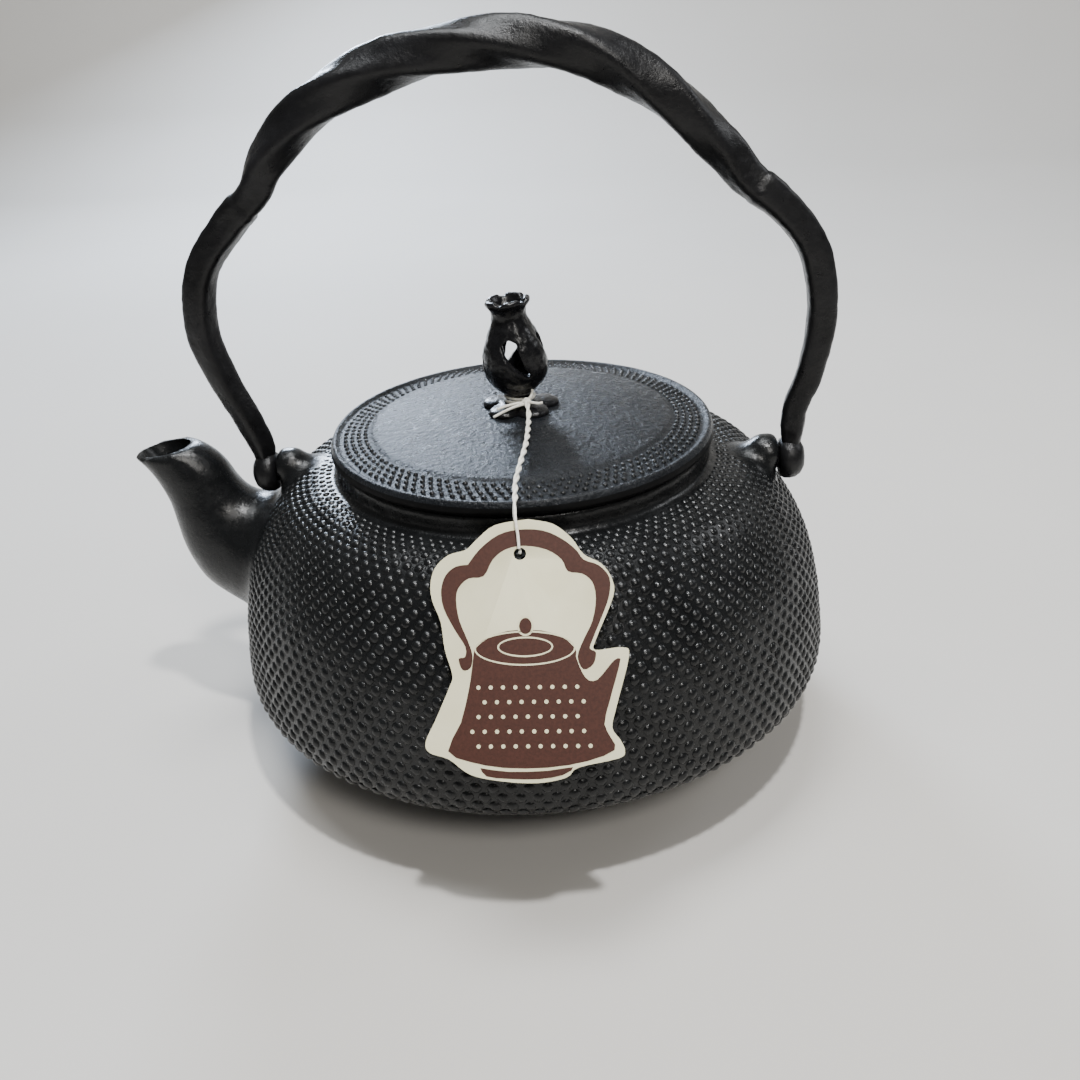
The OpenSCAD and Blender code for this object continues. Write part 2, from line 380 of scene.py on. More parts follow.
IRON = iron("iron_body", (0.0035, 0.0038, 0.0042), (0.0075, 0.008, 0.0085), 0.25)
# the lid's black iron with a lighter, bluer base colour than the body's: painted sheen
IRON_LID_SHEEN = iron("iron_lid_painted_sheen", (0.004, 0.0048, 0.006), (0.010, 0.0115, 0.014), 0.28, grain=0.0006, shine=0.17)
IRON_KNOB = iron("iron_knob", (0.003, 0.003, 0.0034), (0.007, 0.007, 0.008), 0.24)
# a darker, duller copy of the body's iron: painted shade for the neck band under the lid and for the lid's side band
IRON_PAINTED_SHADE = iron("iron_painted_shade", (0.002, 0.002, 0.0022), (0.004, 0.004, 0.0042), 0.5, shine=0.1)
IRON_INSIDE = iron("iron_inside", (0.012, 0.011, 0.010), (0.030, 0.025, 0.021), 0.6)
IRON_HANDLE = iron("iron_handle", (0.0035, 0.0035, 0.0038), (0.008, 0.008, 0.009), 0.32, grain=0.0002, shine=0.27)
CARD, INK, THREAD = card_paper(), card_ink(), thread()


def dress(obj, body, slot, *materials):
    """Gives obj its materials and body; slot is not used."""
    obj.data.materials.clear()
    for material in materials:
        obj.data.materials.append(material)
    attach(obj, body)
    return obj


# ---------------------------------------------------------------- string

STRING_POINTS = [(2.2, -6.2, 104.2), (3, -9.5, 103.9), (3.4, -13, 102.4), (3.6, -20, 101.6), (3.6, -28, 100.9),
                 (2.6, -40, 99.4), (2.1, -47, 98.3), (2.3, -51, 97.6), (2.5, -54.5, 97.2), (2.7, -57.5, 97.1),
                 (2.9, -60, 97), (3.1, -62.2, 96.3), (3.3, -63.5, 94.8), (3.6, -64.5, 93.3), (3.8, -65.6, 91.6),
                 (3.9, -66.6, 90.1)]
# the pair of strands parts here: one passes in front of the card, the other behind it
PARTING = 8


def frames_along(line):
    """Unit tangent and two normals at each point of a line, without sudden turns."""
    t = np.gradient(line, axis=0)
    t /= np.linalg.norm(t, axis=1)[:, None]
    u = np.cross(t[0], (1, 0, 0.01))
    out_u = []
    for k in t:
        u = u - k * np.dot(u, k)
        u = u / np.linalg.norm(u)
        out_u.append(u)
    out_u = np.array(out_u)
    return t, out_u, np.cross(t, out_u)


def tube(line, radius, sides=8, taper=None):
    """Points and faces of a round tube along a line."""
    t, u, v = frames_along(line)
    a = 2 * np.pi * np.arange(sides) / sides
    r = np.full(len(line), float(radius)) if taper is None else radius * np.asarray(taper)
    rings = (line[:, None] + r[:, None, None] * (u[:, None] * np.cos(a)[None, :, None]
                                                 + v[:, None] * np.sin(a)[None, :, None]))
    return skin(rings)


def strand(line, turn_mm, phase, offset, radius):
    """One strand that winds round a line."""
    t, u, v = frames_along(line)
    along = np.concatenate([[0], np.cumsum(np.linalg.norm(np.diff(line, axis=0), axis=1))])
    a = 2 * np.pi * along / turn_mm + phase
    side = u * np.cos(a)[:, None] + v * np.sin(a)[:, None]
    return tube(line + np.asarray(offset).reshape(-1, 1) * side, radius, 8)


def build_string():
    """Two strands twisted together as far as the lid's edge; the front one goes on to the card's hole."""
    steps = 16
    line = curve(STRING_POINTS, steps)
    part_at = PARTING * steps
    spread = 0.38 * (1 - smoothstep(part_at - 10, part_at + 30, np.arange(len(line))))
    parts = [strand(line, 8.4, 0, spread, 0.38),
             strand(line[:part_at + 4], 8.4, math.pi, spread[:part_at + 4], 0.38)]
    rope = mesh("string_pair", *joined(parts), 180)
    dress(rope, "lid_set", "string", THREAD)
    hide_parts("string")
    return rope


def on_tag(x, y, out=0.0):
    """A point of the card's own plane, millimetres from its hole, out from its front face."""
    lean = math.radians(36)
    up = np.array((0, math.sin(lean), math.cos(lean)))
    face = np.array((0, -math.cos(lean), math.sin(lean)))
    return np.array(TAG_AT) + np.array((1.0, 0, 0)) * x + up * y + face * (out + 0.4)


def build_back_strand():
    """The strand that passes behind the card and comes up through its hole."""
    points = [STRING_POINTS[PARTING], (2.4, -57.2, 96.2), (2.6, -59.2, 94.2), on_tag(-0.8, 5.8, -3.5),
              on_tag(-0.5, 3.6, -2.8), on_tag(-0.2, 1.6, -2.0), on_tag(0, 0.5, -1.0), on_tag(0, 0.3, 0.1)]
    back = mesh("string_back", *tube(curve(points, 8), 0.38), 180)
    dress(back, "lid_set", "string", THREAD)
    return back


def build_tie():
    """Two turns round the stem, a knot of two small crossing rings and the cut tails."""
    z = SEAT_TOP + 0.8
    a = np.linspace(0, 2 * np.pi, 41)[:-1]
    parts = []
    for lift, lean in ((0.0, 0.10), (0.75, -0.07)):
        ring = np.stack([4.15 * np.cos(a), 4.15 * np.sin(a), z + lift + lean * 4 * np.cos(a)], 1)
        parts.append(tube(np.vstack([ring, ring[:1]]), 0.43))
    knot = np.array((2.3, -5.9, z + 0.6))
    for tilt in (0.4, 1.7, 2.7):
        loop = np.stack([1.0 * np.cos(a), 0.75 * np.sin(a) * math.cos(tilt), 0.95 * np.sin(a) * math.sin(tilt)], 1)
        parts.append(tube(knot + np.vstack([loop, loop[:1]]), 0.5))
    tails = [[(1.8, -6.2, z + 0.6), (-0.6, -7.8, z + 0.9), (-3.2, -9.0, z + 0.7), (-5.6, -10.0, z + 0.2)],
             [(1.9, -6.6, z + 0.3), (-0.8, -9.2, z + 0.5), (-3.6, -11.6, z + 0.1), (-6.3, -13.4, z - 0.7)],
             [(2.8, -6.0, z + 0.6), (4.4, -6.9, z + 0.7), (5.8, -7.2, z + 0.6), (7.0, -7.0, z + 0.7)],
             [(2.6, -5.7, z + 0.8), (3.7, -5.4, z + 2.2), (4.2, -4.6, z + 3.9)]]
    for points in tails:
        line = curve(points, 8)
        parts.append(tube(line, 0.46, taper=np.linspace(1.0, 0.82, len(line))))
    tie = mesh("string_knot", *joined(parts), 180)
    dress(tie, "lid_set", "string", THREAD)
    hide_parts("string_tie")
    return tie


# ---------------------------------------------------------------- body

SHOULDER = [(SEAM_R, SEAM_Z), (BODY_R - 1.2, BELLY_Z - 4), (BODY_R, BELLY_Z + 1), (BODY_R - 0.8, BELLY_Z + 10),
            (BODY_R - 2.3, BELLY_Z + 20), (BODY_R - 5.4, BELLY_Z + 31), (BODY_R - 10.5, BELLY_Z + 41),
            (BODY_R - 17.8, BELLY_Z + 50.8), (BODY_R - 24.8, BELLY_Z + 55), (COLLAR_R + 0.6, NECK_Z)]
# spout sections: inner edge x, z, outer edge x, z, half width
SPOUT = [(-62, 78, -74, 34, 20), (-74, 75.2, -86, 37, 17.5), (-81, 74.8, -94.5, 42, 15),
         (-85.5, 77.5, -102, 48.5, 13), (-88, 81.5, -106.3, 58, 11.4), (-89.5, 85, -107.6, 66, 10.2),
         (-91.6, 88, -108.8, 75.5, 9.2), (-94.5, 90.6, -112.2, 83.6, 8.4), (-97.6, 92.2, -116.6, 89.6, 8.2)]


def offset_profile(line, inwards):
    t = np.gradient(line, axis=0)
    t /= np.linalg.norm(t, axis=1)[:, None]
    return line + inwards * np.stack([-t[:, 1], t[:, 0]], 1)


def spout_rings(sections, less, sides):
    rings = []
    a = 2 * np.pi * np.arange(sides) / sides
    for x0, z0, x1, z1, half in sections:
        inner, outer = np.array((x0, 0, z0)), np.array((x1, 0, z1))
        along = (outer - inner) / np.linalg.norm(outer - inner)
        tall = np.linalg.norm(outer - inner) / 2 - less
        rings.append((inner + outer) / 2 + np.outer(np.cos(a), along) * tall
                     - np.outer(np.sin(a), (0, half - less, 0)))
    return rings


def lug(side):
    """A round-ended boss whose back slopes down into the shoulder."""
    r = BOSS_R - 1.1
    profile = [(0, 59), (4.6, 59), (5.2, 60), (5.7, 64), (r, 68.5), (r, BOSS_X - 1.8), (r - 0.5, BOSS_X - 0.6),
               (r - 1.6, BOSS_X), (0, BOSS_X)]
    verts, faces = turned(profile, 40)
    drop = 3.6 * np.clip((68.5 - verts[:, 2]) / 9.5, 0, 1.2) - 0.9
    return np.stack([side * verts[:, 2], verts[:, 1], PIVOT_Z - drop - side * verts[:, 0]], 1), faces


def tree_of(part):
    verts, faces = part
    return BVHTree.FromPolygons([tuple(v) for v in verts], faces)


def gaps(points, tree, reach=40.0):
    """Distance of each point from a surface."""
    found = [tree.find_nearest(Vector(p), reach) for p in points]
    return np.array([reach if f[3] is None else f[3] for f in found])


def build_body():
    shoulder = curve(SHOULDER, 8)
    bottom = [(0, 0), (20, 0), (47.5, 0), (48.5, 0.15), (50, 0.7), (54, 2.3), (62, 6.9), (70, 12.5), (76, 17.6),
              (79.6, 21.3), (80.2, 22.0), (81.6, 22.2)]
    collar = [(COLLAR_R, NECK_Z + 0.6), (COLLAR_R, COLLAR_Z - 0.8), (COLLAR_R - 0.8, COLLAR_Z), (30, COLLAR_Z),
              (0, COLLAR_Z)]
    shell = turned(bottom + [tuple(p) for p in shoulder] + collar, 192)
    spout = skin(spout_rings(curve(SPOUT, 6), 0, 48))
    spout_faces = BVHTree.FromPolygons([tuple(v) for v in spout[0]], spout[1])
    lugs = [lug(-1), lug(1)]
    body = mesh("kettle_body", *joined([shell, spout] + lugs), 180)
    remeshed(body, 1.05)
    points = points_of(body)
    near_shell = np.clip(1 - gaps(points, tree_of(shell)) / 4.5, 0, 1)
    near_spout = np.clip(1 - gaps(points, spout_faces) / 5.5, 0, 1)
    near_lug = np.clip(1 - np.minimum(*[gaps(points, tree_of(part)) for part in lugs]) / 4.0, 0, 1)
    fair = np.clip(2.2 * near_shell * np.maximum(near_spout, near_lug), 0, 1)
    relax(body, 0.5 * np.ones(len(points)) * (0.25 + 0.75 * fair), 3)
    relax(body, 0.5 * fair, 45)
    inner = offset_profile(shoulder, WALL)[6:-9]
    hollow = [(0, COLLAR_Z + 6), (MOUTH_R + 0.6, COLLAR_Z + 6), (MOUTH_R + 0.6, COLLAR_Z), (MOUTH_R, COLLAR_Z - 0.8),
              (MOUTH_R, COLLAR_Z - 8)] + [tuple(p) for p in inner[::-1]]
    hollow += [(78, 24.5), (73, 20), (66, 14.6), (58, 9.4), (50, 5.6), (44, 4.6), (0, 4.6)]
    cavity = mesh("cavity", *turned(hollow, 128), 180)
    sections = [(-52, 80, -62, 34, 19)] + [tuple(s) for s in curve(SPOUT, 6)] + [(-98.9, 97.2, -117.9, 94.6, 8.2)]
    channel = mesh("channel", *skin(spout_rings(sections, 1.9, 48)), 180)
    bores = []
    for side in (-1, 1):
        verts, faces = turned([(0, 66), (3.15, 66), (3.15, 80), (0, 80)], 32)
        verts = np.stack([side * verts[:, 2], verts[:, 1], PIVOT_Z + verts[:, 0]], 1)
        bores.append(mesh("bore", verts, faces, 180))
    cut(body, cavity, channel, *bores)
    body.data.set_sharp_from_angle(angle=math.radians(50))
    roughen(body, 0.13, 9.0, 2, smoothstep(0.4, 4.0, points_of(body)[:, 2]))
    paint_inside_and_neck_shade(body)
    dress(body, "kettle", "iron", IRON, IRON_INSIDE, IRON_PAINTED_SHADE)
    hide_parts("body", "spout")
    return spout_faces, [tree_of(part) for part in lugs]


def build_waist_ring():
    """The thin ring left where the mould's two halves met."""
    a = 2 * np.pi * np.arange(10) / 10
    n = 240
    rings = [[((SEAM_R + 0.6 + 0.75 * math.cos(k)) * math.cos(b), (SEAM_R + 0.6 + 0.75 * math.cos(k)) * math.sin(b),
               SEAM_Z + 0.75 * math.sin(k)) for k in a] for b in 2 * np.pi * np.arange(n) / n]
    ring = mesh("waist_ring", *skin(rings, closed=True), 180)
    roughen(ring, 0.12, 5.0, 2)
    dress(ring, "kettle", "iron", IRON)
    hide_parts("body")


def paint_inside_and_neck_shade(body):
    """Faces that look into the hollow get the bare iron; the neck band's outward faces under the lid get the darker
    iron, painted shade.
    """
    for face in body.data.polygons:
        c = face.center / MM
        n = face.normal
        r = math.hypot(c.x, c.y)
        inwards = n.x * c.x + n.y * c.y < 0 or (c.z < 12 and n.z > 0.5)
        face.material_index = 1 if inwards and r < BODY_R - 2.5 and c.z < COLLAR_Z - 2 and c.x > -84 else 0
        # the neck band's outward faces under the lid: the darker iron, painted shade
        if not inwards and r < COLLAR_R + 1.2 and c.z > NECK_Z - 1:
            face.material_index = 2


NAILS_ROUND = 124
# a nail's outline, as shares of its foot radius and of its height
NAIL = [(1.0, -0.35), (0.84, 0.2), (0.56, 0.66), (0.27, 0.93)]


def nails(name, spots, sides=8):
    """Small round-topped domes; each spot is (place, outward normal, foot radius, height)."""
    spots = list(spots)
    ring_a = [2 * math.pi * j / sides for j in range(sides)]
    faces_one = [tuple(range(sides))[::-1]]
    rows = len(NAIL)
    for i in range(rows - 1):
        faces_one += [(i * sides + j, i * sides + (j + 1) % sides, (i + 1) * sides + (j + 1) % sides,
                       (i + 1) * sides + j) for j in range(sides)]
    tip = rows * sides
    faces_one += [((rows - 1) * sides + j, (rows - 1) * sides + (j + 1) % sides, tip) for j in range(sides)]
    verts, faces = [], []
    for place, out, foot, height in spots:
        start = len(verts)
        u = out.cross(Vector((0, 0, 1)))
        u = u.normalized() if u.length > 1e-3 else Vector((1, 0, 0))
        v = out.cross(u)
        for share, lift in NAIL:
            for a in ring_a:
                verts.append(place + (u * math.cos(a) + v * math.sin(a)) * (foot * share) + out * (height * lift))
        verts.append(place + out * height)
        faces += [tuple(start + i for i in face) for face in faces_one]
    return mesh(name, np.array([tuple(v) for v in verts]), faces, 180)


def nail_rows(line, gap_share, first):
    """Rows of a staggered lattice along a profile: (place on the line, its unit normal, pitch)."""
    step = np.linalg.norm(np.diff(line, axis=0), axis=1)
    along = np.concatenate([[0], np.cumsum(step)])
    t = np.gradient(line, axis=0)
    t /= np.linalg.norm(t, axis=1)[:, None]
    s = first
    rows = []
    while s < along[-1] - 1.0:
        r, z = (np.interp(s, along, line[:, k]) for k in (0, 1))
        out = np.array([np.interp(s, along, t[:, 1]), -np.interp(s, along, t[:, 0])])
        pitch = 2 * math.pi * r / NAILS_ROUND
        rows.append((r, z, out / np.linalg.norm(out), pitch))
        s += gap_share * pitch
    return rows


def build_nails(spout_tree, lug_trees):
    rand = random.Random(SEED)
    rows = nail_rows(curve(SHOULDER, 16), 0.64, 3.0)
    spots = []
    for i, (r, z, out, pitch) in enumerate(rows):
        for j in range(NAILS_ROUND):
            a = 2 * math.pi * (j + 0.5 * (i % 2) + rand.uniform(-0.025, 0.025)) / NAILS_ROUND
            place = Vector((r * math.cos(a), r * math.sin(a), z + rand.uniform(-0.05, 0.05)))
            normal = Vector((out[0] * math.cos(a), out[0] * math.sin(a), out[1]))
            size = pitch * rand.uniform(0.385, 0.41)
            height = pitch * rand.uniform(0.135, 0.155)
            if place.x < -55 and blocked(place, spout_tree, size * 0.8):
                continue
            if abs(place.x) > 52 and abs(place.y) < 14 and any(blocked(place, t, size * 1.1) for t in lug_trees):
                continue
            spots.append((place, normal, size, height))
    half = len(spots) // 2
    for name, group in (("nails_lower", spots[:half]), ("nails_upper", spots[half:])):
        piece = nails(name, group, 9)
        dress(piece, "kettle", "iron", IRON)
        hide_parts("body")


def blocked(place, tree, margin):
    """True where a place lies in, or within margin of, a closed surface."""
    hit, normal, _, gap = tree.find_nearest(place, 60)
    if hit is None:
        return False
    ray, _, _, _ = tree.ray_cast(place, Vector((0.013, 0.021, 1)))
    crossings, start = 0, place.copy()
    direction = Vector((0.013, 0.021, 1)).normalized()
    while ray is not None and crossings < 12:
        crossings += 1
        start = ray + direction * 0.001
        ray, _, _, _ = tree.ray_cast(start, direction)
    return crossings % 2 == 1 or gap < margin


# ---------------------------------------------------------------- lid

FIELD_R = 42.6


def build_lid():
    edge = LID_EDGE_Z
    rise = LID_TOP - LID_EDGE_Z

    def crown(r):
        return edge + rise * (1 - (r / 52) ** 2)

    top = [(r, crown(r) + 0.2) for r in np.arange(1.0, FIELD_R - 0.4, 0.5)]
    top += [(FIELD_R, crown(FIELD_R) + 0.12), (FIELD_R + 0.6, crown(FIELD_R + 0.6) - 0.12)]
    top += [(r, crown(r) - 0.25) for r in np.arange(FIELD_R + 1.4, 51.2, 1.1)]
    top += [(51.8, edge - 0.35), (52.5, edge - 0.2), (53.0, edge + 0.25), (53.4, edge + 0.5), (53.9, edge + 0.5),
            (54.3, edge + 0.1)]
    side = [(54.7, edge - 0.9), (LID_OUT, edge - 1.8), (LID_OUT, COLLAR_Z + 1.0), (LID_OUT - 0.5, COLLAR_Z + 0.3),
            (LID_OUT - 1.2, COLLAR_Z + 0.12)]
    flange = 47.2
    under = [(50, COLLAR_Z + 0.12), (flange + 0.4, COLLAR_Z + 0.12), (flange, COLLAR_Z - 0.3),
             (flange, LID_LOW[2] + 0.6), (flange - 0.6, LID_LOW[2]), (flange - 2.2, LID_LOW[2]),
             (flange - 2.8, LID_LOW[2] + 0.6), (flange - 2.8, COLLAR_Z + 0.4)]
    under += [(r, crown(r) - 3.2) for r in np.arange(42, 8, -2.0)] + [(8, crown(8) - 3.2), (2.4, crown(2) - 3.2)]
    n = 460
    profile = [(1.0, LID_TOP)] + top[1:] + side + under
    verts, faces = turned(profile, n)
    rows = len(profile)
    hole_top = len(top) + len(side) + len(under)
    verts, faces = verts, faces + [tuple(range(n)), tuple(range((rows - 1) * n, rows * n))]
    lid = mesh("lid_shell", verts, faces, 180)
    p = points_of(lid)
    r = np.hypot(p[:, 0], p[:, 1])
    on_top = p[:, 2] > np.interp(r, [0, 55], [LID_TOP - 1.4, edge - 1.4])
    field = on_top * (1 - smoothstep(FIELD_R - 2.0, FIELD_R + 0.6, r)) * smoothstep(5, 12, r)
    orange = np.array([noise.noise(Vector(q) / 0.75) + 0.3 * noise.noise(Vector(q) / 1.3) if w > 0 else 0
                       for q, w in zip(p, field)])
    p[:, 2] += field * 0.17 * orange
    set_points(lid, p)
    roughen(lid, 0.05, 9.0, 2)
    lid.data.set_sharp_from_angle(angle=math.radians(60))
    dress(lid, "lid_set", "iron", IRON_LID_SHEEN, IRON_INSIDE, IRON_PAINTED_SHADE)
    # the lid's side band below the rim gets the darker iron, painted shade; faces underneath get the bare iron
    for face in lid.data.polygons:
        far, high = math.hypot(*face.center.xy) / MM, face.center.z / MM
        face.material_index = 1 if face.normal.z < -0.2 and far < 46.5 else 2 if far > 50 and high < edge - 0.5 else 0
    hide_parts("lid")
    rand = random.Random(SEED + 1)
    spots = []
    for i, radius in enumerate((50.5, 48.6, 46.7, 44.8)):
        for j in range(112):
            a = 2 * math.pi * (j + 0.5 * (i % 2) + rand.uniform(-0.04, 0.04)) / 112
            place = Vector((radius * math.cos(a), radius * math.sin(a), crown(radius) - 0.25))
            out = Vector((math.cos(a) * 0.15, math.sin(a) * 0.15, 1)).normalized()
            spots.append((place, out, rand.uniform(0.74, 0.86), rand.uniform(0.5, 0.62)))
    dots = nails("lid_nails", spots, 9)
    dress(dots, "lid_set", "iron", IRON)
    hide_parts("lid")


# ---------------------------------------------------------------- knob and its seat

BUD = [(2.9, 0), (3.3, 1.6), (5.2, 3.4), (8.2, 7), (9.3, 11.5), (8.6, 16.5), (6.4, 21), (4.9, 24.5), (5.1, 26.6),
       (6.3, 28.6), (6.1, 29.6)]
KNOB_LEAN = 3.5
# a window between two petals, which slants down to a point: across and up
WINDOW = [(-2.3, 18.3), (-0.4, 19.6), (1.9, 18.6), (2.3, 15.8), (3.3, 12), (5, 8.8), (4.4, 8.6), (2.2, 10.4),
          (0.1, 12.6), (-1.6, 15.2)]


def build_knob():
    outside = [tuple(p) for p in curve(BUD, 5)]
    inside = [(4.9, 29.9), (4.0, 28.3), (3.2, 26.0), (2.9, 24.6), (4.2, 21), (6.1, 16.6), (6.8, 11.5), (5.7, 7.6),
              (3.8, 5), (0, 4.4)]
    knob = mesh("knob_bud", *turned([(0, -0.3), (2.9, -0.3)] + outside + inside, 72), 180)
    windows = []
    for k in range(4):
        a = math.radians(270 + 90 * k)
        rings = [[(d * math.cos(a) - x * s * math.sin(a), d * math.sin(a) + x * s * math.cos(a), 14 + (z - 14) * s)
                  for x, z in WINDOW] for d, s in ((2.0, 0.9), (13.0, 1.12))]
        windows.append(mesh("window", *skin(rings), 180))
    for k in range(5):
        b = math.radians(36 + 72 * k)
        notch, faces = turned([(0, -3.5), (1.5, -3.5), (1.5, 3.5), (0, 3.5)], 24)
        notch = np.stack([6.0 * math.cos(b) + notch[:, 2] * math.cos(b) - notch[:, 1] * math.sin(b),
                          6.0 * math.sin(b) + notch[:, 2] * math.sin(b) + notch[:, 1] * math.cos(b),
                          30.3 + notch[:, 0]], 1)
        windows.append(mesh("notch", notch, faces, 180))
    cut(knob, *windows)
    remeshed(knob, 0.34)
    p = points_of(knob)
    a = np.arctan2(p[:, 1], p[:, 0])
    r = np.hypot(p[:, 0], p[:, 1])
    rib = np.cos(4 * (a - math.radians(2.9) * (19 - p[:, 2])))
    swell = smoothstep(3, 8, p[:, 2]) * (1 - smoothstep(21, 27, p[:, 2]))
    p[:, :2] *= (1 - 0.035 * swell * rib * (r > 3))[:, None]
    set_points(knob, p)
    relax(knob, np.full(len(p), 0.5), 3)
    roughen(knob, 0.22, 2.6, 2)
    p = points_of(knob)
    lean = math.radians(-KNOB_LEAN)
    x = p[:, 0] * math.cos(lean) + p[:, 2] * math.sin(lean)
    z = -p[:, 0] * math.sin(lean) + p[:, 2] * math.cos(lean)
    foot = smoothstep(0, 1.5, p[:, 2])
    set_points(knob, np.stack([x, p[:, 1], SEAT_TOP + np.where(p[:, 2] < 0.2, np.maximum(z, 0.0), z) * (foot > -1)], 1))
    dress(knob, "lid_set", "iron", IRON_KNOB)
    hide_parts("knob")


def build_seat():
    """A plum-flower washer: five round petals, each a little domed, with a raised middle."""
    low = SEAT_LOW[2] - 0.4
    top = SEAT_TOP
    parts = [turned([(0, low), (6.4, low), (6.4, top - 0.6), (5.6, top), (0, top)], 40)]
    for k in range(5):
        a = math.radians(90 + 72 * k)
        petal, faces = turned([(0, low), (4.5, low), (4.6, low + 1.0), (4.2, top - 0.75), (3.2, top - 0.3),
                               (1.8, top - 0.1), (0, top - 0.05)], 32)
        parts.append((petal + np.array((6.8 * math.cos(a), 6.8 * math.sin(a), 0)), faces))
    seat = mesh("knob_flower", *joined(parts), 180)
    remeshed(seat, 0.36)
    relax(seat, np.full(len(seat.data.vertices), 0.5), 3)
    roughen(seat, 0.12, 2.4, 2)
    dress(seat, "lid_set", "iron", IRON_KNOB)
    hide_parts("knob_seat")


# ---------------------------------------------------------------- handle

BAR = [(-77.6, PIVOT_Z), (-77.5, 90), (-80.3, 99), (-85.6, 113), (-88.6, 127), (-85.2, 143), (-75, 155.5),
       (-67, 163), (-62, 171), (-49, 183), (-27, 192.5), (0, 196), (23, 192.5), (41, 182.5), (55.5, 169),
       (63, 160.5), (72, 153.5), (80.5, 142), (83.6, 126), (81.6, 109), (78, 98), (77.4, 90), (77.6, PIVOT_Z)]
# turn of the bar in degrees per millimetre: in the bows at the sides, and in the arch
TWIST_LOW, TWIST_HIGH = 0.4, 2.8
# the points of BAR at the two kinks, where the bows step out past the arch
KINK_LEFT, KINK_RIGHT = 6.5, 15.3


def bar_thickness(z):
    foot, low, middle, top = 4.6, 6.4, 7.9, 11.0
    return (foot + (low - foot) * smoothstep(84, 93, z) + (middle - low) * np.clip((z - 88) / 40, 0, 1)
            + (top - middle) * smoothstep(150, 196, z))


def build_handle():
    line = curve(BAR, 14)
    t = np.gradient(line, axis=0)
    t /= np.linalg.norm(t, axis=1)[:, None]
    count = len(line) - 1
    step = np.concatenate([[0], np.linalg.norm(np.diff(line, axis=0), axis=1)])
    along = np.cumsum(step)
    kinks = [along[round(k * 14)] for k in (KINK_LEFT, KINK_RIGHT)]
    past = [kinks[0] - along, along - kinks[1]]
    step_out = sum(np.where(d > -0.8, 0.11 * np.exp(-np.maximum(d, 0) / 6.5) * smoothstep(-0.8, 0.4, d), 0)
                   for d in past)
    rate = TWIST_LOW + (TWIST_HIGH - TWIST_LOW) * smoothstep(150, 172, line[:, 1])
    turn = np.cumsum(rate * step)
    turn = turn - turn[np.argmax(line[:, 1])] + 45
    rings = []
    a = 2 * np.pi * np.arange(40) / 40
    for i in range(1, count):
        half = bar_thickness(line[i][1]) / 2 * (1 + step_out[i])
        w = math.radians(turn[i])
        q = (np.abs(np.cos(a - w)) ** 3.9 + np.abs(np.sin(a - w)) ** 3.9) ** (-1 / 3.9)
        across = np.array((t[i][1], 0, -t[i][0]))
        middle = np.array((line[i][0], 0, line[i][1]))
        rings.append(middle + np.outer(half * q * np.cos(a), across) + np.outer(half * q * np.sin(a), (0, 1, 0)))
    handle = mesh("bail_bar", *skin(rings), 180)
    p = points_of(handle)
    p = p + 0.22 * np.array([tuple(noise.noise_vector(Vector(q) / 9.0)) for q in p])
    set_points(handle, p)
    roughen(handle, 0.15, 2.8, 3)
    handle.data.set_sharp_from_angle(angle=math.radians(75))
    dress(handle, "bail", "iron_handle", IRON_HANDLE)
    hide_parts("handle")
    parts = []
    for side in (-1, 1):
        x0 = BOSS_X + 0.3
        r = FOOT_R - 0.5
        profile = [(0, x0 - 7), (2.6, x0 - 7), (3.0, x0 - 6.5), (3.0, x0 - 0.01), (r - 2.2, x0), (r - 0.8, x0 + 0.4),
                   (r - 0.1, x0 + 1.6), (r, x0 + 3.2), (r - 0.3, x0 + 4.8), (r - 1.3, x0 + 6.2), (r - 2.9, x0 + 7.1),
                   (r - 4.6, x0 + FOOT_T + 1.6), (0, x0 + FOOT_T + 1.7)]
        verts, faces = turned(profile, 40)
        parts.append((np.stack([side * verts[:, 2], verts[:, 1], PIVOT_Z - side * verts[:, 0]], 1), faces))
    feet = mesh("bail_feet", *joined(parts), 60)
    dress(feet, "bail", "iron_handle", IRON_HANDLE)
    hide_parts("handle")


# ---------------------------------------------------------------- tag

TAG_OUTLINE = [(2, 8.3), (-6, 7), (-10.5, 3.5), (-13, 1.2), (-17.2, 0), (-20.4, -3), (-21.5, -7), (-21, -11),
               (-19, -16), (-18, -22.5), (-16.2, -28.5), (-17, -31.5), (-20, -38.5), (-22.5, -44), (-21.5, -46.5),
               (-17, -48), (-12, -51.5), (-5, -53), (3.5, -53.5), (10.3, -52.3), (13.3, -50), (22.5, -48),
               (24, -46.3), (23, -43.8), (21.2, -41), (22.3, -36), (25.4, -24.5), (23.8, -22.5), (17.5, -23),
               (18, -20), (22, -10.5), (21.7, -6.2), (19.3, -2.7), (15.2, -0.4), (12.4, 3.5), (8, 7)]
# printed shapes on the card, millimetres from its hole
PRINT_BAND = [(-12.5, -2.4), (-9.6, 1.3), (-5.2, 4.6), (-0.3, 5.8), (5.4, 5.5), (9.9, 3.5), (13.4, 0.7),
              (15.2, -1.7), (18.7, -3.1), (21.2, -6.1), (21, -10.5), (19.2, -15.3), (17.0, -20.5), (16.3, -22.7),
              (17.7, -23.6), (17.0, -26.4), (14.7, -27.5), (13.4, -24.5), (14.9, -20.5), (17, -16.2),
              (17.9, -10.9), (17.1, -7), (14.7, -5), (11.4, -4.4), (9.9, -1.5), (6.3, 0.9), (1, 1.9),
              (-3.4, 1.1), (-6.5, -1.3), (-8.7, -5.2), (-12.3, -5.7), (-14.7, -7.9), (-15.3, -10.9),
              (-14.5, -15.7), (-12.5, -20.5), (-11.4, -24), (-11.9, -26.9), (-13.8, -27.3), (-14.7, -24.7),
              (-13.2, -24.3), (-13.1, -21.9), (-15.6, -17.9), (-18.3, -12.7), (-18.9, -8.3), (-17.8, -4.8),
              (-15.4, -2.8)]
